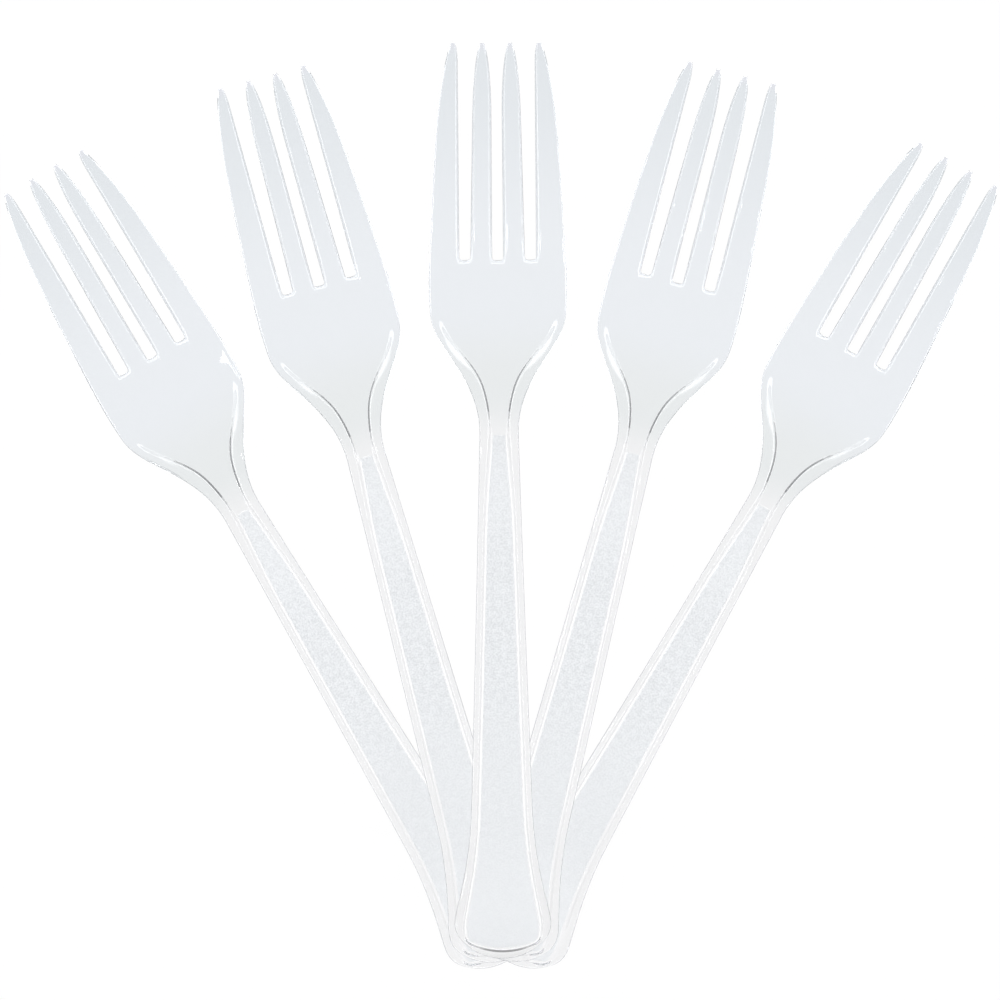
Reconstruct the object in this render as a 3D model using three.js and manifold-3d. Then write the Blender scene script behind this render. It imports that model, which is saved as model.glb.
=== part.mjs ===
// Five clear plastic forks of one kind, laid face up in a fan, each resting its handle end on the ones
// below. One fork is a bent sheet with a raised rim round its handle, cut through by three slots to leave
// four tines. Millimetres, +Z up. A fork's own frame has its handle end at the origin, its tines along +Y
// and its face up.
import Module from "manifold-3d";
import * as THREE from "three";
import { mergeVertices } from "three/addons/utils/BufferGeometryUtils.js";

// Lengths along a fork
const handleLength = 105; // handle end to the narrowest part of the neck
const headLength = 35.7; // neck to the roots of the slots
const tineLength = 43.3; // roots of the slots to the tips
const padLength = 28; // handle end to where the broad pad has run into the slim handle
const shoulderLength = 23.5; // neck to where the head is about as broad as it gets

// Widths across a fork
const padWidth = 19.4;
const slimWidth = 12.3; // handle, just past the pad
const neckWidth = 7.7;
const shoulderWidth = 27;
const headWidth = 27.8; // broadest, just before the roots of the slots
const slotWidth = 2.2; // at the roots
const innerTineWidth = 4.4; // at the roots
const innerTineTaper = 0.82; // breadth at the tip as a share of that, before rounding
const innerTipSpacing = 5.6; // between the tips of the two inner tines
const outerTipSpacing = 17.1; // between the tips of the two outer tines
const tipBlankWidth = 21.7; // between the outer edges at the line of the tips, before rounding

// Rounding of the outline
const endRadius = 11; // long curve across the handle end
const cornerRadius = 5; // where that curve turns into the sides
const innerTipLength = 14; // how far back the rounding of an inner tip reaches
const outerTipLength = 17; // the same on the outer edge of an outer tip
const outerTipInsideLength = 4; // the same on its inside edge
const tipFlat = 0.12; // the rounding stops this far from the very tip

// How far the outline's curves hold their direction before they turn
const padHold = 1.7;
const slimHold = 11.4;
const slimSpread = 0.7; // the pad's flare still stands out this much there
const slimHollow = 0.15; // the slim handle's sides are this much hollow
const neckHold = 11;
const shoulderHold = 6.6;
const shoulderLean = 0.95; // the flank leans in this much over that length
const headHold = 12.8;
const headSwell = 1; // pulls the head's sides out to its full width
const tipHold = 13.9;
const tipSpread = 1.1; // the head's sides still stand out this much there

// Rim that stands up round the recessed face of the handle
const rimWidth = 0.8; // along the slim handle
const padRimWidth = 1.45; // at the sides of the pad
const endRimWidth = 1.3; // across the handle end
const neckRimWidth = 1.9;
const rimHeight = 0.8; // on the handle
const neckRimHeight = 1.5; // on the neck, where a fork bends most
const wallRun = 0.8; // plan width of the rim's sloping inner wall
const neckWallRun = 0.35;
const endWallRun = 0.4;
const neckStarts = 20; // this far before the neck the rim begins to broaden and rise
const rimPeak = 3.5; // this far past the neck it stands highest
const rimFade = 3.5; // this far past the shoulder it has sunk into the head

// Thickness under the face
const handleThickness = 1.5;
const neckThickness = 2;
const headThickness = 1.7;
const tipThickness = 1;

// Side view
const neckRise = 7.4; // underside of the neck above the table
const tipRise = 8.6; // underside of the tips above the table
const padAt = 8; // where the pad touches the table
const endRise = 0.3; // underside of the very end above the table
const bellyBeforeRoots = 2; // the belly touches the table this far before the slots begin
const dishDepth = 1.6; // middle of the head below its edges
const tipDishDepth = 0.5;

// Fan
const fanStep = 15; // degrees between neighbours
const pivotBehindEnd = 0.9; // the forks turn about a point just behind their handle ends
const restGap = 0.3; // left where one fork rests on another

// The forks from the lowest to the top one: steps of the fan to the left, and how far each lies to the right.
const stack = [
  { name: "fork_left_outer", steps: 2, aside: 1.3 },
  { name: "fork_right_outer", steps: -2, aside: 0.2 },
  { name: "fork_left_inner", steps: 1, aside: 0.8 },
  { name: "fork_right_inner", steps: -1, aside: -0.6 },
  { name: "fork_centre", steps: 0, aside: 0 },
];

const clearPlastic = { color: 0xeaeef1, roughness: 0.08, metalness: 0, transparent: true, opacity: 0.5 };

// Places along a fork
const neckAt = handleLength;
const shoulderAt = neckAt + shoulderLength;
const rootsAt = neckAt + headLength;
const tipsAt = rootsAt + tineLength;
const bellyAt = rootsAt - bellyBeforeRoots;
const slimEndsAt = neckAt - neckStarts;
const rimSinksAt = shoulderAt + rimFade;

const point = (x, y) => new THREE.Vector2(x, y);
const { clamp, lerp, degToRad } = THREE.MathUtils;

// A curve of one value along another, smooth and without overshoot, as a function.
function smoothThrough(stations) {
  const secants = stations.slice(1).map(([at, value], i) => (value - stations[i][1]) / (at - stations[i][0]));
  const slopes = stations.map((_, i) => {
    const before = secants[i - 1] ?? secants[0];
    const after = secants[i] ?? secants.at(-1);
    return before * after > 0 ? (2 * before * after) / (before + after) : 0;
  });
  return (at) => {
    const inside = clamp(at, stations[0][0], stations.at(-1)[0]);
    const i = Math.max(stations.findIndex(([end]) => end >= inside), 1);
    const [start, from] = stations[i - 1];
    const [end, to] = stations[i];
    const span = end - start;
    const t = (inside - start) / span;
    const ease = t * t * (3 - 2 * t);
    const leave = t * (1 - t) ** 2 * slopes[i - 1] * span;
    const arrive = t * t * (t - 1) * slopes[i] * span;
    return from + (to - from) * ease + leave + arrive;
  };
}

// Right-hand edge of the handle: end curve, corner, flare of the pad, slim handle.
function handleEdge() {
  const half = padWidth / 2;
  const slim = slimWidth / 2;
  const neck = neckWidth / 2;
  const cornerX = half - cornerRadius;
  const drop = Math.sqrt((endRadius - cornerRadius) ** 2 - cornerX ** 2);
  const cornerY = endRadius - drop;
  const meet = -Math.atan2(drop, cornerX);
  return [
    new THREE.EllipseCurve(0, endRadius, endRadius, endRadius, -Math.PI / 2, meet, false),
    new THREE.EllipseCurve(cornerX, cornerY, cornerRadius, cornerRadius, meet, 0, false),
    new THREE.CubicBezierCurve(
      point(half, cornerY),
      point(half, cornerY + padHold),
      point(slim + slimSpread, padLength - slimHold),
      point(slim, padLength),
    ),
    new THREE.QuadraticBezierCurve(
      point(slim, padLength),
      point((slim + neck) / 2 - slimHollow, (padLength + neckAt) / 2),
      point(neck, neckAt),
    ),
  ];
}

// Right-hand edge from the neck over the shoulder to the line of the tips.
function headEdge() {
  const neck = neckWidth / 2;
  const shoulder = shoulderWidth / 2;
  const blank = tipBlankWidth / 2;
  return [
    new THREE.CubicBezierCurve(
      point(neck, neckAt),
      point(neck, neckAt + neckHold),
      point(shoulder - shoulderLean, shoulderAt - shoulderHold),
      point(shoulder, shoulderAt),
    ),
    new THREE.CubicBezierCurve(
      point(shoulder, shoulderAt),
      point(headWidth / 2 + headSwell, shoulderAt + headHold),
      point(blank + tipSpread, tipsAt - tipHold),
      point(blank, tipsAt),
    ),
  ];
}

const pointsPerCurve = 60;
const edgePoints = [...handleEdge(), ...headEdge()].flatMap((curve) => curve.getPoints(pointsPerCurve));

// Distance from the middle line to the edge before the tips are rounded.
function blankHalfWidthAt(y) {
  const i = edgePoints.findIndex((p) => p.y >= y);
  if (i === -1) return edgePoints.at(-1).x;
  if (i === 0) return edgePoints[0].x;
  const [a, b] = [edgePoints[i - 1], edgePoints[i]];
  return a.x + ((b.x - a.x) * (y - a.y)) / (b.y - a.y);
}

// How full a rounded tip is at a distance from its end: a long half ellipse.
function tipFullness(distance, roundLength) {
  const within = clamp(Math.max(distance, tipFlat) / roundLength, 0, 1);
  return Math.sqrt(1 - (1 - within) ** 2);
}

function halfWidthAt(y) {
  const tip = outerTipSpacing / 2;
  return tip + (blankHalfWidthAt(y) - tip) * (y > rootsAt ? tipFullness(tipsAt - y, outerTipLength) : 1);
}

// Where the top of the rim's inner wall stands. Past the neck it is a share of the width, out to the
// shoulder, and beyond that it's only a line of the mesh across the dished head.
const recessStart = endRimWidth;
const closedShare = 0.6;
const sideRimAt = smoothThrough([
  [0, padRimWidth],
  [endRadius / 2, padRimWidth],
  [padLength, rimWidth],
  [slimEndsAt, rimWidth],
  [neckAt, neckRimWidth],
]);
const wallShareAt = smoothThrough([
  [neckAt, 1 - (2 * neckRimWidth) / neckWidth],
  [lerp(neckAt, shoulderAt, 0.4), 0.545],
  [lerp(neckAt, shoulderAt, 0.66), 0.7],
  [shoulderAt, 0.88],
  [tipsAt, 0.75],
]);
function wallTopAt(y) {
  if (y <= recessStart) return halfWidthAt(y) * closedShare;
  if (y > neckAt) return halfWidthAt(y) * wallShareAt(y);
  const fromCentre = Math.max(endRadius + recessStart - y, 0);
  return Math.min(Math.sqrt(endRadius ** 2 - fromCentre ** 2), halfWidthAt(y) - sideRimAt(y));
}
const wallRunAt = smoothThrough([
  [0, endWallRun],
  [padLength, wallRun],
  [slimEndsAt, wallRun],
  [neckAt, neckWallRun],
  [lerp(neckAt, shoulderAt, 0.7), neckWallRun * 2],
  [rimSinksAt, headWidth / 7],
  [tipsAt, headWidth / 12],
]);

// Heights at each place along the fork
const rimHeightAt = smoothThrough([
  [0, rimHeight],
  [slimEndsAt, rimHeight],
  [neckAt + rimPeak, neckRimHeight],
  [lerp(neckAt, shoulderAt, 0.6), neckRimHeight * 0.75],
  [rimSinksAt, 0],
  [tipsAt, 0],
]);
const thicknessAt = smoothThrough([
  [0, handleThickness],
  [slimEndsAt, handleThickness],
  [neckAt + rimPeak, neckThickness],
  [shoulderAt, headThickness],
  [rootsAt, headThickness],
  [tipsAt, tipThickness],
]);
const undersideAt = smoothThrough([
  [0, endRise],
  [padAt, 0],
  [lerp(padAt, neckAt, 0.5), neckRise * 0.6],
  [lerp(padAt, neckAt, 0.95), neckRise],
  [lerp(neckAt, bellyAt, 0.25), neckRise * 0.8],
  [lerp(neckAt, bellyAt, 0.63), neckRise * 0.25],
  [bellyAt, 0],
  [lerp(rootsAt, tipsAt, 0.4), tipRise * 0.2],
  [tipsAt, tipRise],
]);
const dishAt = smoothThrough([
  [0, 0],
  [neckAt, 0],
  [shoulderAt, dishDepth],
  [rootsAt, dishDepth],
  [tipsAt, tipDishDepth],
]);
const bottomAt = (x, y) => undersideAt(y) + dishAt(y) * (x / halfWidthAt(y)) ** 2;
const faceAt = (x, y) => bottomAt(x, y) + thicknessAt(y);

// Seven columns run along the fork: both edges, the top and foot of each inner wall, and the middle.
function columnsAt(y) {
  const half = halfWidthAt(y);
  const top = wallTopAt(y);
  const foot = Math.max(top - wallRunAt(y), top * closedShare);
  return [-half, -top, -foot, 0, foot, top, half];
}
const inRecess = (column, y) => y > recessStart && column >= 2 && column <= 4;
const topAt = (column, x, y) => faceAt(x, y) + (inRecess(column, y) ? 0 : rimHeightAt(y));

// Rows run across it, close together where the outline or the section turns. Each stretch has its start
// and its number of rows.
const rowStretches = [
  [0.15, 2],
  [recessStart, 1],
  [recessStart + 0.25, 3],
  [endRadius / 3, 3],
  [padAt, 6],
  [padLength, 8],
  [neckAt, 9],
  [shoulderAt, 3],
  [rootsAt, 6],
  [tipsAt - outerTipLength / 2, 4],
  [tipsAt - 1, 2],
  [tipsAt, 1],
];
const rows = rowStretches.flatMap(([start, count], stretch) => {
  const [end] = rowStretches[stretch + 1] ?? [start];
  return Array.from({ length: count }, (_, i) => lerp(start, end, i / count));
});

const wasm = await Module();
wasm.setup();

function toSolid(geometry) {
  geometry.deleteAttribute("normal");
  geometry.deleteAttribute("uv");
  const merged = mergeVertices(geometry, 1e-5);
  return new wasm.Manifold(
    new wasm.Mesh({
      numProp: 3,
      vertProperties: new Float32Array(merged.attributes.position.array),
      triVerts: new Uint32Array(merged.index.array),
    }),
  );
}

function toGeometry(solid) {
  const mesh = solid.getMesh();
  const geometry = new THREE.BufferGeometry();
  geometry.setAttribute("position", new THREE.BufferAttribute(mesh.vertProperties, 3));
  geometry.setIndex(new THREE.BufferAttribute(mesh.triVerts, 1));
  geometry.computeVertexNormals();
  return geometry;
}

// The fork before its slots are cut: a box of rows and columns, bent to the fork's section at each row.
function blankSolid() {
  const lastRow = rows.length - 1;
  const lastColumn = columnsAt(0).length - 1;
  const box = new THREE.BoxGeometry(1, 1, 1, lastColumn, lastRow, 1);
  const position = box.attributes.position;
  for (let i = 0; i < position.count; i += 1) {
    const column = Math.round((position.getX(i) + 0.5) * lastColumn);
    const y = rows[Math.round((position.getY(i) + 0.5) * lastRow)];
    const x = columnsAt(y)[column];
    position.setXYZ(i, x, y, position.getZ(i) > 0 ? topAt(column, x, y) : bottomAt(x, y));
  }
  return toSolid(box);
}

// A slot between two tines, open at the tips, with a round root. Its edges are functions of the distance
// from the tips, read at places that crowd together towards the tips.
function slotSolid(leftEdge, rightEdge) {
  const radius = slotWidth / 2;
  const straight = tineLength - radius;
  const steps = 9;
  const crowded = (i) => 1 - (1 - i / steps) ** 2;
  const distances = Array.from({ length: steps + 1 }, (_, i) => lerp(straight, tipFlat, crowded(i)));
  const middle = (leftEdge(straight) + rightEdge(straight)) / 2;
  const rootTurns = 6;
  const root = Array.from({ length: rootTurns - 1 }, (_, i) => {
    const angle = Math.PI * (1 + (i + 1) / rootTurns);
    return point(middle + radius * Math.cos(angle), rootsAt + radius + radius * Math.sin(angle));
  });
  const beyond = tipsAt + 1;
  const shape = new THREE.Shape([
    ...distances.map((distance) => point(rightEdge(distance), tipsAt - distance)),
    point(rightEdge(tipFlat), beyond),
    point(leftEdge(tipFlat), beyond),
    ...distances.map((distance) => point(leftEdge(distance), tipsAt - distance)).reverse(),
    ...root,
  ]);
  const height = 2 * (tipRise + neckRise);
  const prism = new THREE.ExtrudeGeometry(shape, { depth: height, bevelEnabled: false });
  prism.translate(0, 0, -height / 4);
  return toSolid(prism);
}

// Edges of the right-hand inner tine, and the inside edge of the outer one, at a distance from their tips.
function innerTineAt(distance) {
  const share = distance / tineLength;
  const middle = lerp(innerTipSpacing / 2, (slotWidth + innerTineWidth) / 2, share);
  const blankHalf = (innerTineWidth / 2) * lerp(innerTineTaper, 1, share);
  const half = blankHalf * tipFullness(distance, innerTipLength);
  return { inside: middle - half, outside: middle + half };
}
function outerTineInsideAt(distance) {
  const straight = slotWidth * 1.5 + innerTineWidth;
  return lerp(outerTipSpacing / 2, straight, tipFullness(distance, outerTipInsideLength));
}

function forkGeometry() {
  const inside = (distance) => innerTineAt(distance).inside;
  const outside = (distance) => innerTineAt(distance).outside;
  const mirrored = (edge) => (distance) => -edge(distance);
  const slots = [
    slotSolid(mirrored(inside), inside),
    slotSolid(outside, outerTineInsideAt),
    slotSolid(mirrored(outerTineInsideAt), mirrored(outside)),
  ];
  return toGeometry(slots.reduce((fork, slot) => fork.subtract(slot), blankSolid()));
}

// Points of the underside: all of it for what touches the table, and the handle closely for what it lies on.
const underside = rows.flatMap((y) => columnsAt(y).map((x) => new THREE.Vector3(x, y, bottomAt(x, y))));
const handleUnderside = [];
const probeStep = 0.5;
const probesAcross = 16;
for (let y = probeStep; y < neckAt / 2; y += probeStep) {
  for (let i = 0; i <= probesAcross; i += 1) {
    const x = lerp(-1, 1, i / probesAcross) * halfWidthAt(y);
    handleUnderside.push(new THREE.Vector3(x, y, bottomAt(x, y)));
  }
}

// Tips a fork about its belly so that its handle end stands higher, and keeps its lowest point on the table.
function pitch(fork, angle) {
  fork.rotation.x = -angle;
  const belly = new THREE.Vector3(0, bellyAt, 0);
  fork.position.copy(belly).sub(belly.clone().applyEuler(fork.rotation));
  fork.position.y += pivotBehindEnd;
  fork.updateMatrix();
  fork.position.z -= Math.min(...underside.map((p) => p.clone().applyMatrix4(fork.matrix).z));
  fork.parent.updateMatrixWorld(true);
}

// The least height of one fork's underside above another's rim, where the one lies over the other.
function clearance(upper, lower) {
  const between = lower.matrixWorld.clone().invert().multiply(upper.matrixWorld);
  const heights = handleUnderside
    .map((p) => p.clone().applyMatrix4(between))
    .filter(({ x, y }) => y > -restGap && y < neckAt && Math.abs(x) < halfWidthAt(y) + restGap)
    .map(({ y, z }) => z - faceAt(0, y) - rimHeightAt(y));
  return Math.min(...heights);
}

// The least pitch at which a fork clears everything below it, found by halving.
function settle(fork, below) {
  let low = 0;
  let high = degToRad(15);
  const halvings = 24;
  for (let step = 0; step < halvings; step += 1) {
    const middle = (low + high) / 2;
    pitch(fork, middle);
    if (below.every((other) => clearance(fork, other) >= restGap)) high = middle;
    else low = middle;
  }
  pitch(fork, high);
}

const fan = new THREE.Group();
const geometry = forkGeometry();
const laid = [];
for (const { name, steps, aside } of stack) {
  const place = new THREE.Group();
  place.rotation.z = degToRad(fanStep * steps);
  place.position.x = aside;
  const fork = new THREE.Mesh(geometry, new THREE.MeshStandardMaterial(clearPlastic));
  fork.name = name;
  place.add(fork);
  fan.add(place);
  if (laid.length === 0) pitch(fork, 0);
  else settle(fork, laid);
  laid.push(fork);
}

// The origin is on the table, under the middle of the fan.
const bounds = new THREE.Box3().setFromObject(fan, true);
const middle = bounds.getCenter(new THREE.Vector3());
fan.position.set(-middle.x, -middle.y, -bounds.min.z);
fan.updateMatrixWorld(true);

export default fan;
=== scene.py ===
# %% [markdown]
# # A fan of clear plastic forks
#
# Five disposable forks lie face up in a fan, each resting its handle end on the ones below. They are injection
# moulded in clear polystyrene, a hard glassy plastic. The packed model gives their sizes and places, and this
# lesson makes each fork again with a finer shape: the drafted edges of a moulding, the rim round the handle, the
# frosted grip panel, and the sloping walls at the roots of the slots. Lengths of the fork are in millimetres, in
# the fork's own frame: handle end at the origin, tines along +Y, face up.

import math

import bmesh
import bpy
import numpy as np
from mathutils import Matrix, Vector
from mathutils.geometry import interpolate_bezier


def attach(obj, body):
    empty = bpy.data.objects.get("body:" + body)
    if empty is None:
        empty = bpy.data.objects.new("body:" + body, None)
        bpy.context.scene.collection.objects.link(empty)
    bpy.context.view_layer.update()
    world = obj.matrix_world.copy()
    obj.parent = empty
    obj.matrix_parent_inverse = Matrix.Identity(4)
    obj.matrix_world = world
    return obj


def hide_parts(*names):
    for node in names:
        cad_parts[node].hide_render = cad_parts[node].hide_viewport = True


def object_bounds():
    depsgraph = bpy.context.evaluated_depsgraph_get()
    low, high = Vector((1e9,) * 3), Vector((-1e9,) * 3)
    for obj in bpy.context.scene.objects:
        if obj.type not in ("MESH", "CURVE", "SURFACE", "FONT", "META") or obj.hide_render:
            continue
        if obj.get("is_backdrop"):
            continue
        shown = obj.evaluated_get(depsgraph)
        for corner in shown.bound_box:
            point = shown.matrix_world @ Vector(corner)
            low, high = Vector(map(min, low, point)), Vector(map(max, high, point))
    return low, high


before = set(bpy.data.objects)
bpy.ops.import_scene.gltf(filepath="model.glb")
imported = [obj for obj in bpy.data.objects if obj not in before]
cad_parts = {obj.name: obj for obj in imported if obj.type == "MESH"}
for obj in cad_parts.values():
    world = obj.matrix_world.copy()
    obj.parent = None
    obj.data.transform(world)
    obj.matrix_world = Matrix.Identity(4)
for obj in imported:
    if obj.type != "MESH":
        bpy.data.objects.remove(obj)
cad_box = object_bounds()
MM = 0.001
print("packed forks:", sorted(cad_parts))

# %% [markdown]
# ## Camera
#
# The forks are seen from straight above, with no visible perspective, as from a long lens on a copy stand. A
# camera three metres up, with a lens that takes in 200 mm at the height of the forks, gives that, and a small roll
# leans the fan to the left as in the picture. An orthographic camera would do too, but a real lens keeps a trace
# of depth.

# %% Camera
CAMERA_HEIGHT = 3.0
VIEW_WIDTH = 0.2006
FORK_HEIGHT = 0.008  # where the view is that wide
FAN_LEAN = math.radians(0.45)
VIEW_CENTRE = Vector((-0.72, 1.05)) * MM
SENSOR_WIDTH = 36  # millimetres, a full frame

camera = bpy.data.objects.new("camera", bpy.data.cameras.new("camera"))
bpy.context.scene.collection.objects.link(camera)
camera.location = (VIEW_CENTRE.x, VIEW_CENTRE.y, CAMERA_HEIGHT)
camera.rotation_euler = (0, 0, -FAN_LEAN)
camera.data.sensor_width = SENSOR_WIDTH
camera.data.lens = SENSOR_WIDTH * (CAMERA_HEIGHT - FORK_HEIGHT) / VIEW_WIDTH
bpy.context.scene.camera = camera
bpy.context.scene.view_settings.view_transform = "Standard"
print(f"lens {camera.data.lens:.0f} mm at {CAMERA_HEIGHT} m")

# %% [markdown]
# ## Shader maths in Python
#
# A small class wraps an output socket, so that a pattern reads as a formula. Numbers go through Math nodes,
# which would turn a colour grey, so colours have a mix of their own.


# %% A socket that can be added and multiplied
class Flow:
    def __init__(self, tree, socket):
        self.tree = tree
        self.socket = socket

    def math(self, operation, *others):
        return node(self.tree, "ShaderNodeMath", {"operation": operation}, [self, *others]).out(0)

    def __add__(self, other):
        return self.math("ADD", other)

    def __sub__(self, other):
        return self.math("SUBTRACT", other)

    def __rsub__(self, other):
        return (self * -1) + other

    def __mul__(self, other):
        return self.math("MULTIPLY", other)

    __radd__ = __add__
    __rmul__ = __mul__

    def between(self, low, high):
        """0 below low, 1 above high, and smooth between."""
        limits = {"Value": self, "From Min": low, "From Max": high}
        return node(self.tree, "ShaderNodeMapRange", {"interpolation_type": "SMOOTHSTEP"}, limits).out(0)

    def colour(self, low, high):
        """The colour low where this is 0, and high where it is 1."""
        ends = {"Factor_Float": self, "A_Color": low, "B_Color": high}
        return node(self.tree, "ShaderNodeMix", {"data_type": "RGBA"}, ends).out("Result_Color")


print("a socket can", sorted(name for name in vars(Flow) if not name.startswith("_")))


# %% Any node, from one function
def find(sockets, which):
    """A socket by its place, name or identifier."""
    if isinstance(which, int):
        return sockets[which]
    return next(s for s in sockets if which in (s.identifier, s.name))


class Node:
    def __init__(self, tree, made):
        self.tree = tree
        self.made = made

    def out(self, which):
        return Flow(self.tree, find(self.made.outputs, which))


def node(tree, kind, settings=None, values=None):
    """Any node: its settings first, then its sockets, each a link or a value."""
    made = tree.nodes.new(kind)
    for key, value in (settings or {}).items():
        setattr(made, key, value)
    pairs = values.items() if isinstance(values, dict) else enumerate(values or [])
    for key, value in pairs:
        socket = find(made.inputs, key)
        if isinstance(value, Flow):
            tree.links.new(value.socket, socket)
        else:
            socket.default_value = value
    return Node(tree, made)


def new_material(name):
    material = bpy.data.materials.new(name)
    material.use_nodes = True
    material.node_tree.nodes.clear()
    return material, material.node_tree


def show(tree, surface):
    node(tree, "ShaderNodeOutputMaterial", {}, {"Surface": surface})


print("nodes take settings first, then values or links")


# %% [markdown]
# ## How light passes through a stack
#
# Light that has gone through many layers of plastic reaches the floor in real life, and a renderer gives up on it
# and leaves black. Making every layer bend light would be the true way, but five forks lie over each other at the
# handle ends. So a ray that has bent at more than one surface, or has been mirrored inside more than twice, goes
# straight on, and so does a ray that looks for soft light. The lamps' rays pass nearly whole.

# %% A clear plastic that long paths pass straight through
DEEPEST_BEND = 1.5  # a ray that has bent at more surfaces than this goes straight on
MOST_MIRRORS = 2.5  # and so does one that has been mirrored more often than this
LAMP_SHARE = 0.98  # share of the lamps' light that passes


def show_plastic(tree, plastic):
    path = node(tree, "ShaderNodeLightPath")
    lamplight = node(tree, "ShaderNodeBsdfTransparent", {}, {"Color": (LAMP_SHARE, LAMP_SHARE, LAMP_SHARE, 1)}).out(0)
    lit = node(tree, "ShaderNodeMixShader", {}, [path.out("Is Shadow Ray"), plastic, lamplight]).out(0)
    deep = path.out("Transmission Depth").math("GREATER_THAN", DEEPEST_BEND)
    lost = path.out("Glossy Depth").math("GREATER_THAN", MOST_MIRRORS)
    nothing = node(tree, "ShaderNodeBsdfTransparent", {}, {"Color": (1, 1, 1, 1)}).out(0)
    straight = path.out("Is Diffuse Ray").math("MAXIMUM", deep).math("MAXIMUM", lost)
    show(tree, node(tree, "ShaderNodeMixShader", {}, [straight, lit, nothing]).out(0))


print(f"{LAMP_SHARE:.0%} of the lamps' light passes each surface")


# %% [markdown]
# ## White table and studio
#
# The picture's background is plain white. The table stays a plain white surface that keeps a trace of shadow, and
# what the camera sees of it, straight or through the forks, is mostly a white of strength 1. Clear plastic shows
# its shape only where it bends or mirrors a part of the room that differs from the table. So the room has a dark
# ceiling, and low down a bright ring all round, as from strip lights behind the table's edge: the drafted edges
# mirror the ring as thin white lines. Softboxes alone would draw their own outlines in the plastic.

# %% Table
TABLE_WHITE = 0.92  # share of the table's look that ignores shade
TABLE_PAINT = (0.95, 0.95, 0.95, 1)
TABLE_RADIUS = 6  # metres
TABLE_BELOW = 0.05 * MM  # this far under the forks, so that no surfaces coincide

table_material, tree = new_material("white_table")
path = node(tree, "ShaderNodeLightPath")
seen = path.out("Is Camera Ray") + path.out("Is Glossy Ray") + path.out("Is Transmission Ray")
paint = node(tree, "ShaderNodeBsdfDiffuse", {}, {"Color": TABLE_PAINT}).out(0)
glow = node(tree, "ShaderNodeEmission", {}, {"Color": (1, 1, 1, 1), "Strength": 1.0}).out(0)
show(tree, node(tree, "ShaderNodeMixShader", {}, [seen.math("MINIMUM", 1) * TABLE_WHITE, paint, glow]).out(0))

sheet = bmesh.new()
bmesh.ops.create_circle(sheet, cap_ends=True, segments=96, radius=TABLE_RADIUS)
bmesh.ops.translate(sheet, verts=sheet.verts, vec=(0, 0, -TABLE_BELOW))
table_mesh = bpy.data.meshes.new("table")
sheet.to_mesh(table_mesh)
sheet.free()
table_mesh.materials.append(table_material)
table = bpy.data.objects.new("table", table_mesh)
bpy.context.scene.collection.objects.link(table)
table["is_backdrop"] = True
print(f"table {2 * TABLE_RADIUS} m across")

# %% Room and lamp
CEILING = (0.16, 0.16, 0.165, 1)
BRIGHT_RING = (3.85, 3.85, 3.85, 1)
RING_FOOT = (0.18, 0.3)  # the ring fades in between these heights, as sines of the elevation
RING_TOP = (0.56, 0.66)
RING_DIP = 0.2  # it is lower ahead of the tines, where the necks' slopes would mirror it

world = bpy.data.worlds.new("room")
bpy.context.scene.world = world
world.use_nodes = True
tree = world.node_tree
tree.nodes.clear()
direction = node(tree, "ShaderNodeTexCoord").out("Generated")
parts = node(tree, "ShaderNodeSeparateXYZ", {}, [direction])
height, ahead = parts.out("Z"), parts.out("Y").math("MAXIMUM", 0)
ring = height.between(*RING_FOOT) * (1 - (height + RING_DIP * ahead).between(*RING_TOP))
room = node(tree, "ShaderNodeBackground", {}, {"Color": ring.colour(CEILING, BRIGHT_RING)}).out(0)
node(tree, "ShaderNodeOutputWorld", {}, {"Surface": room})

LAMP_SIZE = 0.07
LAMP_AT = Vector((-0.72, 0.14, 1.1))
LAMP_POWER = 0.5

lamp = bpy.data.objects.new("softbox", bpy.data.lights.new("softbox", "AREA"))
bpy.context.scene.collection.objects.link(lamp)
lamp.location = LAMP_AT
lamp.rotation_euler = (-LAMP_AT).to_track_quat("-Z", "Y").to_euler()
lamp.data.size = LAMP_SIZE
lamp.data.energy = LAMP_POWER
print(f"softbox {math.degrees(LAMP_AT.angle(Vector((0, 0, 1)))):.0f} degrees off the vertical")

# %% [markdown]
# ## Sizes of one fork
#
# These are the sizes that the packed model was made from, so that the finer fork fills the same space.

# %% Sizes in millimetres
HANDLE_LENGTH, HEAD_LENGTH, TINE_LENGTH = 105, 35.7, 43.3
PAD_LENGTH, SHOULDER_LENGTH = 28, 23.5
PAD_WIDTH, SLIM_WIDTH, NECK_WIDTH, SHOULDER_WIDTH, HEAD_WIDTH = 19.4, 12.3, 7.7, 27, 27.8
SLOT_WIDTH, INNER_TINE_WIDTH, INNER_TINE_TAPER = 2.2, 4.4, 0.82
INNER_TIP_SPACING, OUTER_TIP_SPACING, TIP_BLANK_WIDTH = 5.6, 17.1, 21.7
END_RADIUS, CORNER_RADIUS = 11, 5
INNER_TIP_LENGTH, OUTER_TIP_LENGTH, OUTER_TIP_INSIDE_LENGTH, TIP_FLAT = 14, 17, 4, 0.12
RIM_WIDTH, PAD_RIM_WIDTH, NECK_RIM_WIDTH, RIM_HEIGHT, NECK_RIM_HEIGHT = 0.8, 1.45, 1.9, 0.8, 1.5
WALL_RUN, NECK_WALL_RUN, END_WALL_RUN = 0.8, 0.35, 0.4
NECK_STARTS, RIM_PEAK, RIM_FADE = 20, 3.5, 3.5
HANDLE_THICKNESS, NECK_THICKNESS, HEAD_THICKNESS, TIP_THICKNESS = 1.5, 2, 1.7, 1
NECK_RISE, TIP_RISE, PAD_AT, END_RISE, BELLY_BEFORE_ROOTS = 7.4, 8.6, 8, 0.3, 2
DISH_DEPTH, TIP_DISH_DEPTH = 1.6, 0.5

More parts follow.
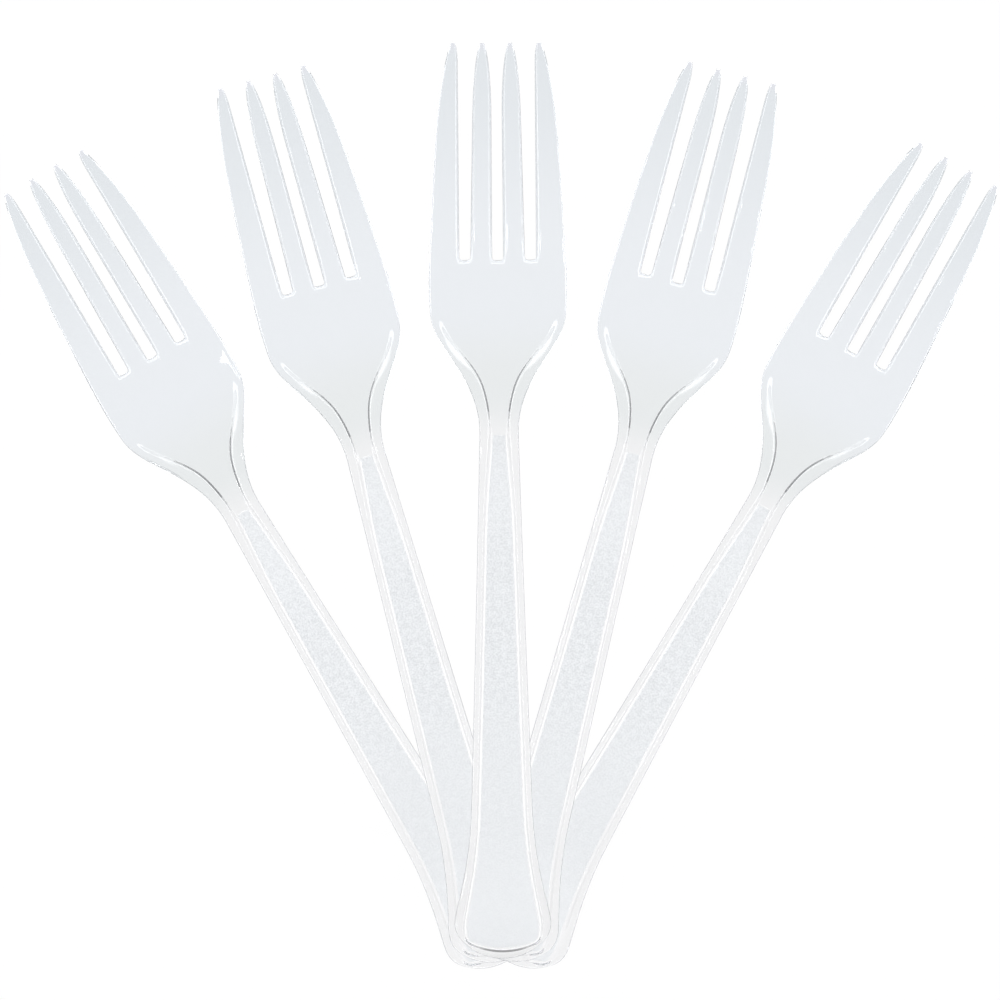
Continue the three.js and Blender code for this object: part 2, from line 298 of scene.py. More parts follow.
NECK_AT = HANDLE_LENGTH
SHOULDER_AT = NECK_AT + SHOULDER_LENGTH
ROOTS_AT = NECK_AT + HEAD_LENGTH
TIPS_AT = ROOTS_AT + TINE_LENGTH
BELLY_AT = ROOTS_AT - BELLY_BEFORE_ROOTS
SLIM_ENDS_AT = NECK_AT - NECK_STARTS
RIM_SINKS_AT = SHOULDER_AT + RIM_FADE
print(f"one fork is {TIPS_AT} mm long")

# %% [markdown]
# ## Outline
#
# The edge of the handle is an arc across the end, a tighter corner, and two long curves to the neck. Two more run
# over the shoulder to the tips. Bezier curves with few handles stay fair, which matters in a clear part: every
# wobble of the outline would show as a kink in the light.

# %% How far the curves' handles pull
BEZIER_POINTS, ARC_POINTS = 60, 30
PAD_PULL = 1.7  # straight on from the end's corner
SLIM_PULL_OUT, SLIM_PULL_BACK = 0.7, 11.4
WAIST_PULL_IN = 0.15
NECK_PULL = 11
SHOULDER_PULL_IN, SHOULDER_PULL_BACK = 0.95, 6.6
HEAD_PULL_OUT, HEAD_PULL = 1, 12.8
BLANK_PULL_OUT, BLANK_PULL_BACK = 1.1, 13.9
print(f"curves of {BEZIER_POINTS} points, arcs of {ARC_POINTS}")


# %% Curves and arcs
def between(start, end, share):
    return start + (end - start) * share


def bezier(*corners):
    points = [Vector((x, y, 0)) for x, y in corners]
    if len(points) == 3:
        start, pull, end = points
        points = [start, start.lerp(pull, 2 / 3), end.lerp(pull, 2 / 3), end]
    start, pull_a, pull_b, end = points
    return [(p.x, p.y) for p in interpolate_bezier(start, pull_a, pull_b, end, BEZIER_POINTS)]


def arc(centre, radius, start, end):
    x, y = centre
    return [(x + radius * math.cos(a), y + radius * math.sin(a)) for a in np.linspace(start, end, ARC_POINTS)]


print("a quarter of a unit circle ends at", [round(c, 2) for c in arc((0, 0), 1, 0, math.pi / 2)[-1]])

# %% Right-hand edge, from the end's corner to the tips
CORNER_ANGLE = -math.pi / 4  # the rows of the mesh end here and its columns start
half_pad, half_slim, half_neck = PAD_WIDTH / 2, SLIM_WIDTH / 2, NECK_WIDTH / 2
half_shoulder, half_blank = SHOULDER_WIDTH / 2, TIP_BLANK_WIDTH / 2
corner_x = half_pad - CORNER_RADIUS
corner_drop = math.sqrt((END_RADIUS - CORNER_RADIUS) ** 2 - corner_x**2)
corner_y = END_RADIUS - corner_drop
meet = -math.atan2(corner_drop, corner_x)
side = (
    arc((0, END_RADIUS), END_RADIUS, CORNER_ANGLE, meet)
    + arc((corner_x, corner_y), CORNER_RADIUS, meet, 0)
    + bezier(
        (half_pad, corner_y),
        (half_pad, corner_y + PAD_PULL),
        (half_slim + SLIM_PULL_OUT, PAD_LENGTH - SLIM_PULL_BACK),
        (half_slim, PAD_LENGTH),
    )
    + bezier(
        (half_slim, PAD_LENGTH),
        ((half_slim + half_neck) / 2 - WAIST_PULL_IN, (PAD_LENGTH + NECK_AT) / 2),
        (half_neck, NECK_AT),
    )
    + bezier(
        (half_neck, NECK_AT),
        (half_neck, NECK_AT + NECK_PULL),
        (half_shoulder - SHOULDER_PULL_IN, SHOULDER_AT - SHOULDER_PULL_BACK),
        (half_shoulder, SHOULDER_AT),
    )
    + bezier(
        (half_shoulder, SHOULDER_AT),
        (HEAD_WIDTH / 2 + HEAD_PULL_OUT, SHOULDER_AT + HEAD_PULL),
        (half_blank + BLANK_PULL_OUT, TIPS_AT - BLANK_PULL_BACK),
        (half_blank, TIPS_AT),
    )
)
side_x, side_y = np.array(side).T
print(f"outline of {len(side)} points, {2 * side_x.max():.2f} mm at the broadest")


# %% Rounded tips and the edges of the tines
def tip_fullness(distance, round_length):
    within = min(max(distance, TIP_FLAT) / round_length, 1)
    return math.sqrt(1 - (1 - within) ** 2)


def half_width(y):
    blank = float(np.interp(y, side_y, side_x))
    tip = OUTER_TIP_SPACING / 2
    return tip + (blank - tip) * (tip_fullness(TIPS_AT - y, OUTER_TIP_LENGTH) if y > ROOTS_AT else 1)


def tine_edges(y):
    """Both edges of the inner tine and the inside edge of the outer one."""
    distance = min(TIPS_AT - y, TINE_LENGTH)
    share = distance / TINE_LENGTH
    middle = between(INNER_TIP_SPACING / 2, (SLOT_WIDTH + INNER_TINE_WIDTH) / 2, share)
    half = INNER_TINE_WIDTH / 2 * between(INNER_TINE_TAPER, 1, share) * tip_fullness(distance, INNER_TIP_LENGTH)
    straight = SLOT_WIDTH * 1.5 + INNER_TINE_WIDTH
    outer = between(OUTER_TIP_SPACING / 2, straight, tip_fullness(distance, OUTER_TIP_INSIDE_LENGTH))
    return middle - half, middle + half, outer


print("inner tine at its root from {:.2f} to {:.2f} mm, outer one from {:.2f} mm".format(*tine_edges(ROOTS_AT)))

# %% [markdown]
# ## Section
#
# Heights and widths change slowly along the fork. Each is a smooth curve through a few stations, made with
# harmonic slopes so that it never swings past a station.


# %% A smooth curve through stations
def ramp(y, start, end):
    """0 up to start, 1 from end on, and straight between."""
    return min(max((y - start) / (end - start), 0), 1)


def eased(share):
    """0 to 1 as the share goes from 0 to 1, level at both ends."""
    return share * share * (3 - 2 * share)


def smooth_through(*stations):
    at, value = np.array(stations, float).T
    span = np.diff(at)
    secant = np.diff(value) / span
    before = np.append(secant[:1], secant)
    after = np.append(secant, secant[-1:])
    same_way = before * after > 0
    slope = np.where(same_way, 2 * before * after / np.where(same_way, before + after, 1), 0)

    def curve(y):
        inside = min(max(y, at[0]), at[-1])
        i = max(int(np.searchsorted(at, inside)), 1)
        t = (inside - at[i - 1]) / span[i - 1]
        leave = t * (1 - t) ** 2 * slope[i - 1] * span[i - 1]
        arrive = t * t * (t - 1) * slope[i] * span[i - 1]
        return float(value[i - 1] + (value[i] - value[i - 1]) * eased(t) + leave + arrive)

    return curve


print("halfway eased is", eased(0.5))

# %% Stations of the rim
SHOULDER_WALL_SHARE = 0.88  # the rim's inner wall stands at this share of the half width

side_rim = smooth_through(
    (0, PAD_RIM_WIDTH),
    (END_RADIUS / 2, PAD_RIM_WIDTH),
    (PAD_LENGTH, RIM_WIDTH),
    (SLIM_ENDS_AT, RIM_WIDTH),
    (NECK_AT, NECK_RIM_WIDTH),
)
wall_share = smooth_through(
    (NECK_AT, 1 - 2 * NECK_RIM_WIDTH / NECK_WIDTH),
    (between(NECK_AT, SHOULDER_AT, 0.4), 0.545),
    (between(NECK_AT, SHOULDER_AT, 0.66), 0.7),
    (SHOULDER_AT, SHOULDER_WALL_SHARE),
    (TIPS_AT, SHOULDER_WALL_SHARE),
)
packed_run = smooth_through(
    (0, END_WALL_RUN),
    (PAD_LENGTH, WALL_RUN),
    (SLIM_ENDS_AT, WALL_RUN),
    (NECK_AT, NECK_WALL_RUN),
)
STEEP_RUN, STEEPEST_RUN, SHOULDER_RUN = 0.4, 0.3, 0.6  # how far the finer wall runs inwards as it rises
wall_run = smooth_through(
    (0, STEEP_RUN),
    (PAD_LENGTH, STEEP_RUN),
    (SLIM_ENDS_AT, STEEP_RUN),
    (NECK_AT, (STEEP_RUN + STEEPEST_RUN) / 2),
    (NECK_AT + 3, STEEPEST_RUN),
    (NECK_AT + 16, STEEPEST_RUN),
    (SHOULDER_AT, SHOULDER_RUN),
)
rim_height = smooth_through(
    (0, RIM_HEIGHT),
    (SLIM_ENDS_AT, RIM_HEIGHT),
    (NECK_AT + RIM_PEAK, NECK_RIM_HEIGHT),
    (between(NECK_AT, SHOULDER_AT, 0.6), NECK_RIM_HEIGHT * 0.75),
    (RIM_SINKS_AT, 0),
    (TIPS_AT, 0),
)
print(f"rim {rim_height(0):.1f} mm high at the end and {rim_height(NECK_AT + RIM_PEAK):.1f} mm at the neck")

# %% Stations of the sheet
thickness = smooth_through(
    (0, HANDLE_THICKNESS),
    (SLIM_ENDS_AT, HANDLE_THICKNESS),
    (NECK_AT + RIM_PEAK, NECK_THICKNESS),
    (SHOULDER_AT, HEAD_THICKNESS),
    (ROOTS_AT, HEAD_THICKNESS),
    (TIPS_AT, TIP_THICKNESS),
)
underside = smooth_through(
    (0, END_RISE),
    (PAD_AT, 0),
    (between(PAD_AT, NECK_AT, 0.5), NECK_RISE * 0.6),
    (between(PAD_AT, NECK_AT, 0.95), NECK_RISE),
    (between(NECK_AT, BELLY_AT, 0.25), NECK_RISE * 0.8),
    (between(NECK_AT, BELLY_AT, 0.63), NECK_RISE * 0.25),
    (BELLY_AT, 0),
    (between(ROOTS_AT, TIPS_AT, 0.4), TIP_RISE * 0.2),
    (TIPS_AT, TIP_RISE),
)
dish = smooth_through(
    (0, 0),
    (NECK_AT, 0),
    (SHOULDER_AT, DISH_DEPTH),
    (ROOTS_AT, DISH_DEPTH),
    (TIPS_AT, TIP_DISH_DEPTH),
)


def bottom(x, y):
    return underside(y) + dish(y) * (x / half_width(y)) ** 2


print(f"underside of the neck {underside(NECK_AT):.2f} mm up, of the tips {underside(TIPS_AT):.2f} mm")

# %% [markdown]
# ## A grid over half a fork
#
# The face of the fork is a grid, thirteen columns from the middle line to the edge. On the handle the columns
# follow the rim and its inner wall, and past the shoulder the same columns slide over to the edges of the tines.
# The rows across the end bend with its arc, so the rim goes round it in whole quads, and straighten out up the
# pad. A subdivision surface over such a cage is smooth all over, which glassy plastic needs.

# %% Rows: height on the middle line, and at the edge
corner_height = END_RADIUS * (1 + math.sin(CORNER_ANGLE))
END_ROWS = [
    (0, 0),
    (0.35, 0.25),
    (1.2, 0.9),
    (1.6, 1.25),
    (2.1, 1.7),
    (3.4, 2.8),
    (5.4, 4.3),
    (8.2, 6.4),
    (11.2, 8.6),
]
rows = [(mid, corner_height + above) for mid, above in END_ROWS]


def stretch(start, end, count):
    return [(y, y) for y in np.linspace(start, end, count, endpoint=False)]


GRIP_ENDS_AT = 104.5
LEVEL_ROWS_AT = 14  # the rows are straight from here on
ROOT_WALL = 1.25  # sloping wall at the root of a slot
ROOT_EASE = 2.2  # the last plain row is this far before the root
TIP_ROWS = (11, 9.7, 8.5, 7.4, 6.4, 5.5, 4.7, 3.9, 3.2, 2.6, 2, 1.5, 1, 0.6, 0.35, 0.15)  # back from the tips
rows += stretch(LEVEL_ROWS_AT, PAD_LENGTH, 5)
rows += stretch(PAD_LENGTH, SLIM_ENDS_AT, 13)
rows += stretch(SLIM_ENDS_AT, GRIP_ENDS_AT - 0.8, 7)
rows += [(y, y) for y in (GRIP_ENDS_AT - 0.6, GRIP_ENDS_AT, GRIP_ENDS_AT + 0.3)]
rows += stretch(NECK_AT + 1, SHOULDER_AT, 14) + stretch(SHOULDER_AT, ROOTS_AT - ROOT_EASE, 8)
rows += [(y, y) for y in (ROOTS_AT - ROOT_EASE, ROOTS_AT - ROOT_WALL)]
ROOT_ROW = len(rows)
rows += [(y, y) for y in (ROOTS_AT, ROOTS_AT + 0.7, ROOTS_AT + 1.7)]
rows += stretch(ROOTS_AT + 3, TIPS_AT - TIP_ROWS[0], 21)
rows += [(TIPS_AT - back, TIPS_AT - back) for back in TIP_ROWS]
TIP_ROW = len(rows) - 1
RIM_ROW, GRIP_ROW = 2, 4
GRIP_LAST_ROW = next(j for j, (mid, _) in enumerate(rows) if mid >= GRIP_ENDS_AT)
print(len(rows), "rows")

# %% Columns: their distances from the middle line
FOOT, RIM_TOP, SKIN, EDGE = 9, 10, 11, 12
GRIP_COLUMN = 8
SLOT_EDGES = (1, 5, 6)  # inner slot's edge, and both edges of the outer slot
DRAFT = 0.42  # how far the top edge of a moulding stands in from its widest outline
TINE_DRAFT = 0.24
FILLET = 0.5  # from the foot of the rim's wall to the panel
MOST_OF_TINE, MOST_OF_RIM, MOST_OF_PANEL = 0.28, 0.4, 0.3  # shares that a draft or the fillet takes at most
OUTER_TINE_COLUMNS = (0.28, 0.55, 0.8)  # their places across the outer tine's face
SLIDE_STARTS, SLIDE_ENDS = 118, ROOTS_AT - 3  # between these the columns slide over to the tines


def draft_of(breadth):
    return min(TINE_DRAFT, breadth * MOST_OF_TINE)


def handle_columns(y, half):
    packed_top = half - side_rim(y) if y <= NECK_AT else half * wall_share(y)
    middle = packed_top - packed_run(y) / 2
    foot, rim_top = middle - wall_run(y) / 2, middle + wall_run(y) / 2
    panel = foot - min(FILLET, MOST_OF_PANEL * foot)
    skin = half - min(DRAFT, MOST_OF_RIM * (half - rim_top))
    return [panel * i / GRIP_COLUMN for i in range(GRIP_COLUMN + 1)] + [foot, rim_top, skin, half]


def head_columns(y, half):
    inside, outside, outer = tine_edges(y)
    inner_draft, outer_draft = draft_of(outside - inside), draft_of(half - outer)
    inner = [0, inside, inside + inner_draft, (inside + outside) / 2, outside - inner_draft, outside]
    start, end = outer + outer_draft, half - outer_draft
    return inner + [outer, start] + [between(start, end, share) for share in OUTER_TINE_COLUMNS] + [end, half]


def columns(y):
    half = half_width(y)
    ease = eased(ramp(y, SLIDE_STARTS, SLIDE_ENDS))
    if ease == 0:
        return handle_columns(y, half)
    if ease == 1:
        return head_columns(y, half)
    return [between(a, b, ease) for a, b in zip(handle_columns(y, half), head_columns(y, half))]


print("columns at the neck:", [round(x, 2) for x in columns(NECK_AT)])

# %% Where a corner of the grid goes
corner_reach = END_RADIUS * math.cos(CORNER_ANGLE)
EDGE_DROP = 0.27  # the widest outline is this far below the top of the edge
TINE_PARTING = 0.2  # on the tines it is lower, at this share of their thickness
ROOT_PARTING = 0.5
FOOT_RISE = 0.3  # the rim's wall runs out into a slope that starts this high
STEP = 0.2  # from the grip panel up to the smooth neck
PARTING_SINKS = (SHOULDER_AT, ROOTS_AT + 6)  # each of these fades between two heights
FOOT_FADES = (NECK_AT - 2, NECK_AT + 2)
STEP_FADES = (NECK_AT + 1, NECK_AT + 9)


def end_arc(share):
    """Height of the end's arc as a share of its height at the corner."""
    return (END_RADIUS - math.sqrt(END_RADIUS**2 - (share * corner_reach) ** 2)) / corner_height


def on_edge(column, row):
    slotted = row >= ROOT_ROW and column in SLOT_EDGES
    return column == EDGE or row in (0, TIP_ROW) or slotted or (row == ROOT_ROW and column == 0)


def face_point(column, row):
    mid, edge_y = rows[row]
    across = columns(edge_y)
    x = across[column]
    y = mid + (edge_y - mid) * end_arc(x / across[EDGE])
    raised = column >= RIM_TOP or row <= RIM_ROW
    body = thickness(y) + (rim_height(y) if raised else 0)
    if on_edge(column, row):
        at_root = row == ROOT_ROW and column in (0, *SLOT_EDGES)
        parting = 1 - EDGE_DROP / body
        body *= ROOT_PARTING if at_root else between(parting, TINE_PARTING, ramp(y, *PARTING_SINKS))
    elif not raised:
        if column == FOOT or row == RIM_ROW + 1:
            body += FOOT_RISE * (1 - ramp(y, *FOOT_FADES))
        elif row > GRIP_LAST_ROW:
            body += STEP * (1 - ramp(y, *STEP_FADES))
    return Vector((x, y, bottom(x, y) + body))


print("the middle of the handle's end stands at", [round(c, 2) for c in face_point(0, 0)], "mm")


# %% Which way the plastic lies
def into_plastic(column, row):
    """Which way the plastic lies from a corner on the outline, shorter where a tine is narrow."""
    if not on_edge(column, row):
        return Vector((0, 0))
    point = face_point(column, row)
    if rows[row][1] < corner_y:
        return (Vector((0, END_RADIUS)) - point.xy).normalized()
    sideways = 0
    if column == EDGE or (column == 5 and row >= ROOT_ROW):
        sideways = -1
    elif column in (1, 6) and row >= ROOT_ROW:
        sideways = 1
    lengthways = -1 if row == TIP_ROW or (row == ROOT_ROW and column in (0, *SLOT_EDGES)) else 0
    if row < ROOT_ROW:
        breadth = 2 * point.x
    else:
        inside, outside, outer = tine_edges(point.y)
        breadth = outside - inside if column <= 5 else half_width(point.y) - outer
    return Vector((sideways, lengthways)).normalized() * min(1, draft_of(breadth) / DRAFT)


print("from the handle's end the plastic lies towards", [round(c, 2) for c in into_plastic(0, 0)])

# %% [markdown]
# ## The cage
#
# The grid is bent over the face, the slots' faces are taken out, and a mirror makes the other half. One extrude
# gives the sheet its thickness, and the new side is set on the underside's curve. The widest outline of a moulding
# is where the two halves of the mould part: the face and the underside both stand in a little from it, so that the
# part lets go of the mould. Those sloping edges draw the thin lines along a clear fork. Building the surface from
# lists of points would do too, but the grid, the mirror and the extrude keep its halves and its two sides alike.

# %% Face, slots and mirror
UNDER_DRAFT = 0.15
SMOOTHING_LOSS = (DRAFT + UNDER_DRAFT) / 6  # the subdivision surface draws an edge in by this much
UNDER_LIFT = 0.03  # and lets the underside down by this much
# breadth of the painted dark outline at the slots' roots, and how much broader it gets along the head
ROOT_LINE, HEAD_LINE_MORE = 0.65, 0.3


def line_breadth(row):
    return ROOT_LINE if row == ROOT_ROW else 1 + HEAD_LINE_MORE * ramp(rows[row][1], SHOULDER_AT, ROOTS_AT)


cage = bmesh.new()
bmesh.ops.create_grid(cage, x_segments=EDGE, y_segments=TIP_ROW, size=0.5)
column_of = cage.verts.layers.int.new("column")
row_of = cage.verts.layers.int.new("row")
outline = cage.verts.layers.float.new("outline")  # 1 on the outline, where a dark line of painted shade runs, and more where that line is broader
into_x = cage.verts.layers.float.new("into_x")
into_y = cage.verts.layers.float.new("into_y")
for corner in cage.verts:
    column = round((corner.co.x + 0.5) * EDGE)
    row = round((corner.co.y + 0.5) * TIP_ROW)
    corner[column_of], corner[row_of] = column, row
    corner[outline] = on_edge(column, row) * line_breadth(row)
    corner[into_x], corner[into_y] = into_plastic(column, row)
    corner.co = face_point(column, row)


def in_slot(face):
    column = min(corner[column_of] for corner in face.verts)
    return column in (0, 5) and min(corner[row_of] for corner in face.verts) >= ROOT_ROW


bmesh.ops.delete(cage, geom=[face for face in cage.faces if in_slot(face)], context="FACES")
bmesh.ops.mirror(cage, geom=cage.verts[:] + cage.edges[:] + cage.faces[:], axis="X", merge_dist=1e-4)
bmesh.ops.recalc_face_normals(cage, faces=cage.faces)
print("face of", len(cage.faces), "quads")

# %% Thickness and drafted edges
made = bmesh.ops.extrude_face_region(cage, geom=cage.faces[:])["geom"]
under = {corner for corner in made if isinstance(corner, bmesh.types.BMVert)}
for corner in cage.verts:
    into = Vector((math.copysign(corner[into_x], corner[into_x] * corner.co.x), corner[into_y], 0))
    if corner in under:
        corner.co += into * UNDER_DRAFT
        corner.co.z = bottom(corner.co.x, corner.co.y) + UNDER_LIFT
    else:
        corner.co -= into * SMOOTHING_LOSS * (1 - ramp(corner.co.y, ROOTS_AT, TIPS_AT))
bmesh.ops.recalc_face_normals(cage, faces=cage.faces)
open_edges = sum(not edge.is_manifold for edge in cage.edges)
print(f"cage of {len(cage.faces)} quads, {open_edges} open edges, {cage.calc_volume():.0f} mm3")

# %% [markdown]
# ## Crisp edges
#
# A subdivision surface rounds every edge of its cage. On the real fork the rim's wall, the parting line and the
# edge of the underside are crisper than that, and the light shows it. Extra loops beside each edge would hold them,
# but a crease does it with no more faces, and it can fade out along the head.

# %% Crisp edges along the rim's wall, and round the underside
SOFT, CRISP = 0.2, 0.8
END_WALL_ROWS = (RIM_ROW, RIM_ROW + 1)
UNDER_SOFTENS = (SHOULDER_AT, ROOTS_AT)  # each kind of edge changes between two heights
OUTLINE_SOFTENS = (ROOTS_AT - 4, ROOTS_AT + 12)
WALL_HARDENS = (NECK_AT + 1, NECK_AT + 4)
crease = cage.edges.layers.float.new("crease_edge")


def crispness(edge):
    a, b = edge.verts
    y = max(a.co.y, b.co.y)
    if a in under and b in under:
        beneath = sum((face.verts[0] in under) + (face.verts[2] in under) == 2 for face in edge.link_faces)
        return CRISP * (1 - ramp(y, *UNDER_SOFTENS)) if beneath == 1 else 0
    if a in under or b in under:
        return 0
    if a[column_of] == b[column_of] == EDGE or a[row_of] == b[row_of] == 0:
        return CRISP * (1 - ramp(y, *OUTLINE_SOFTENS))
    farthest = max(a[column_of], b[column_of])
    if a[row_of] == b[row_of] and a[row_of] - GRIP_LAST_ROW in (0, 1) and farthest <= GRIP_COLUMN:
        return CRISP
    for row, column in zip(END_WALL_ROWS, (RIM_TOP, FOOT)):
        across_end = a[row_of] == b[row_of] == row and farthest <= column
        up_side = a[column_of] == b[column_of] == column and min(a[row_of], b[row_of]) >= row
        if across_end or up_side:
            return between(SOFT, CRISP, ramp(y, *WALL_HARDENS)) * min(1, rim_height(y) / RIM_HEIGHT)
    return 0


for edge in cage.edges:
    edge[crease] = crispness(edge)
print(sum(edge[crease] > 0 for edge in cage.edges), "crisp edges")


# %% [markdown]
# ## What the materials need to know
#
# The mesh carries three things for its materials: which faces are grip panel, how much painted shade the walls'
# faces get, and a map of the fork seen from above, in its own frame. The map could be left out and the patterns put
# on object coordinates, but then each fork would show another cut of the same noise, and its tints would not follow
# it as it turns.

# %% Grip panel, painted wall shade, and a map for the patterns
def on_grip(face):
    corners = face.verts
    inside = all(c[column_of] <= GRIP_COLUMN and GRIP_ROW <= c[row_of] <= GRIP_LAST_ROW for c in corners)
    return inside and not any(c in under for c in corners)


# painted shade on steep walls, for the light that enters them and stays: how dark each kind of wall is painted
TINE_DRAFTS = ({1, 2}, {4, 5}, {6, 7}, {SKIN, EDGE})
TINE_PAINTED_SHADE, RIM_PAINTED_SHADE, END_PAINTED_SHADE = 0.25, 0.12, 0.9
NECK_SHADE_FROM, NECK_SHADE_TO = (107, 110), (119, 122)  # it fades in and out between these
TINE_SHADE_FROM, TINE_SHADE_TO = (ROOTS_AT, ROOTS_AT + 5), (TIPS_AT - 3, TIPS_AT - 1)
END_SHADE_FADES = (4.5, 7.5)


def painted_shade_share(face):
    """How much painted shade a steep wall's face gets here, for the light that enters it and never leaves again."""
    corners = face.verts
    if any(c in under for c in corners):
        return 0
    y = sum(c.co.y for c in corners) / 4
    columns_here = {c[column_of] for c in corners}
    rows_here = {c[row_of] for c in corners}
    if columns_here == {FOOT, RIM_TOP} and min(rows_here) > RIM_ROW:
        return max(RIM_PAINTED_SHADE, ramp(y, *NECK_SHADE_FROM)) * (1 - ramp(y, *NECK_SHADE_TO))
    if columns_here in TINE_DRAFTS and y > ROOTS_AT:
        return TINE_PAINTED_SHADE * ramp(y, *TINE_SHADE_FROM) * (1 - ramp(y, *TINE_SHADE_TO))
    if rows_here == {RIM_ROW, RIM_ROW + 1} and max(columns_here) <= FOOT:
        return END_PAINTED_SHADE * (1 - ramp(max(abs(c.co.x) for c in corners), *END_SHADE_FADES))
    return 0


MAP_SIZE = 200  # the map is this many millimetres across
trapped = cage.faces.layers.float.new("trapped")
plan = cage.loops.layers.uv.new("plan")
for face in cage.faces:
    face.smooth = True
    face.material_index = 1 if on_grip(face) else 0
    face[trapped] = painted_shade_share(face)
    for loop in face.loops:
        loop[plan].uv = (loop.vert.co.x / MAP_SIZE + 0.5, loop.vert.co.y / MAP_SIZE)
fork_mesh = bpy.data.meshes.new("fork")
cage.to_mesh(fork_mesh)
cage.free()
print(sum(p.material_index for p in fork_mesh.polygons), "quads of grip panel")

# %% [markdown]
# ## Clear plastic
#
# Polystyrene bends light strongly (index 1.59) and is nearly colourless. Its tint is a plain pale grey, bluer on
# the head and darker towards the tips, and a faint swell in the surface stands for the flow marks of the moulding.
# Refraction does most of the rest. Two things are painted in. Light that enters a steep wall stays in it, so the
# walls' faces carry painted shade for how dark that makes them. And the outline of clear plastic is a thin dark line,
# thinner than the cage's edge faces, so a value on the corners says where a painted dark line runs. Finer faces could
# do that too, at the price of a much heavier mesh.

# %% Clear plastic
NECK_TINT = (0.88, 0.905, 0.912, 1)
CLEAR_TINT = (0.905, 0.933, 0.967, 1)
TINE_TINT = (0.832, 0.868, 0.90, 1)
TIP_TINT = (0.84, 0.84, 0.90, 1)
HANDLE_TINT = (0.965, 0.967, 0.975, 1)
# painted shade: steep walls and the outline are darkened towards this colour
PAINTED_SHADE_TINT = (0.03, 0.03, 0.035, 1)
# the outline's share of that painted shade in the base colour
OUTLINE_PAINTED_SHADE = 0.3
# a thin transparent dark line of painted shade along the outline: its tint, its share, and where it fades in
PAINTED_LINE_TINT = (0.5, 0.52, 0.56, 1)
PAINTED_LINE_SHARE = 0.4
PAINTED_LINE_FADES = (0.55, 0.8)  # values of the outline between which its line fades in
FLOW_MARK, FLOW_DEPTH = 9, 0.12
SMEAR = 5  # patches of slightly duller gloss
GLOSS_ROUGHNESS, SMEAR_ROUGHNESS = 0.02, 0.03  # a smear adds the second
TIP_TINT_FADES = (TIPS_AT - 3, TIPS_AT + 1)
HEAD_TINT_FADES = (NECK_AT + 10, SHOULDER_AT + 3)
NECK_TINT_FADES = (NECK_AT - 2, NECK_AT + 8)
POLYSTYRENE_IOR = 1.59


def plan_millimetres(tree):
    """Place on the fork: millimetres across and along."""
    plan_map = node(tree, "ShaderNodeUVMap", {"uv_map": "plan"}).out(0)
    return node(tree, "ShaderNodeVectorMath", {"operation": "SCALE"}, {0: plan_map, "Scale": MAP_SIZE}).out(0)


def grain(tree, place, size, detail=2):
    """Noise from 0 to 1 with features of a size in millimetres."""
    return node(tree, "ShaderNodeTexNoise", {}, {"Vector": place, "Scale": 1 / size, "Detail": detail}).out(0)


def bump(tree, height, depth):
    return node(tree, "ShaderNodeBump", {}, {"Height": height, "Distance": depth * MM, "Strength": 1}).out(0)


clear_material, tree = new_material("clear_plastic")
place = plan_millimetres(tree)
along = node(tree, "ShaderNodeSeparateXYZ", {}, [place]).out(1)
tint = along.between(ROOTS_AT, TIPS_AT).colour(CLEAR_TINT, TINE_TINT)
tint = along.between(*TIP_TINT_FADES).colour(tint, TIP_TINT)
tint = along.between(*HEAD_TINT_FADES).colour(NECK_TINT, tint)
tint = along.between(*NECK_TINT_FADES).colour(HANDLE_TINT, tint)
# painted shade on the steep walls and along the outline, mixed into the tint
trap = node(tree, "ShaderNodeAttribute", {"attribute_name": "trapped"}).out("Fac")
painted_outline = node(tree, "ShaderNodeAttribute", {"attribute_name": "outline"}).out("Fac").between(*PAINTED_LINE_FADES)
tint = trap.math("MAXIMUM", OUTLINE_PAINTED_SHADE * painted_outline).colour(tint, PAINTED_SHADE_TINT)
flow_marks = grain(tree, place, FLOW_MARK, 1)
gloss = {
    "Base Color": tint,
    "Roughness": GLOSS_ROUGHNESS + SMEAR_ROUGHNESS * grain(tree, place, SMEAR),
    "IOR": POLYSTYRENE_IOR,
    "Transmission Weight": 1,
    "Normal": bump(tree, flow_marks, FLOW_DEPTH),
}
plastic = node(tree, "ShaderNodeBsdfPrincipled", {}, gloss).out(0)
# painted shade: a thin tinted transparent line over the outline, where the edge of clear plastic turns dark
line = node(tree, "ShaderNodeBsdfTransparent", {}, {"Color": PAINTED_LINE_TINT}).out(0)
show_plastic(tree, node(tree, "ShaderNodeMixShader", {}, [PAINTED_LINE_SHARE * painted_outline, plastic, line]).out(0))
print(len(tree.nodes), "nodes of clear plastic")

# %% [markdown]
# ## Frosted grip
#
# The recessed panel of the handle is etched in the mould to a fine grain, so that it doesn't slip. The etching
# scatters light, which makes the panel hazy white and hides what lies beneath. It is a mixture of a clear and a
# matt surface here, with a bump of fine grains. Both its ends are smoother and lighter, as in the picture: the grain
# is calmer there, and the lightness is painted light that lifts the shade both ends render with.

# %% Grip panel
GRIP_CLEAR = 0.2  # share that is clear, and not matt
GRAIN_DARK, GRAIN_LIGHT = (0.67, 0.69, 0.71, 1), (0.85, 0.87, 0.89, 1)
FINE_GRAIN, COARSE_GRAIN = 0.35, 1.1
FINE_SHARE = 0.7  # the rest of the pattern is the coarse grain
FROST_ROUGHNESS, COARSE_ROUGHNESS = 0.35, 0.25  # the coarse grain adds the second
GRAIN_FADES = (0.34, 0.66)  # values of the noise that become dark and light
ETCH_DEPTH = 0.06
CALM_CONTRAST, CALM_FADES = 0.45, (35, 62)
# painted light on both ends of the panel: how far each is lifted towards the light grain colour, and where
HANDLE_END_PAINTED_LIGHT, HANDLE_END_PAINTED_LIGHT_FADES = 0.6, (8, 30)
NECK_END_PAINTED_LIGHT, NECK_END_PAINTED_LIGHT_FADES = 0.35, (75, 95)

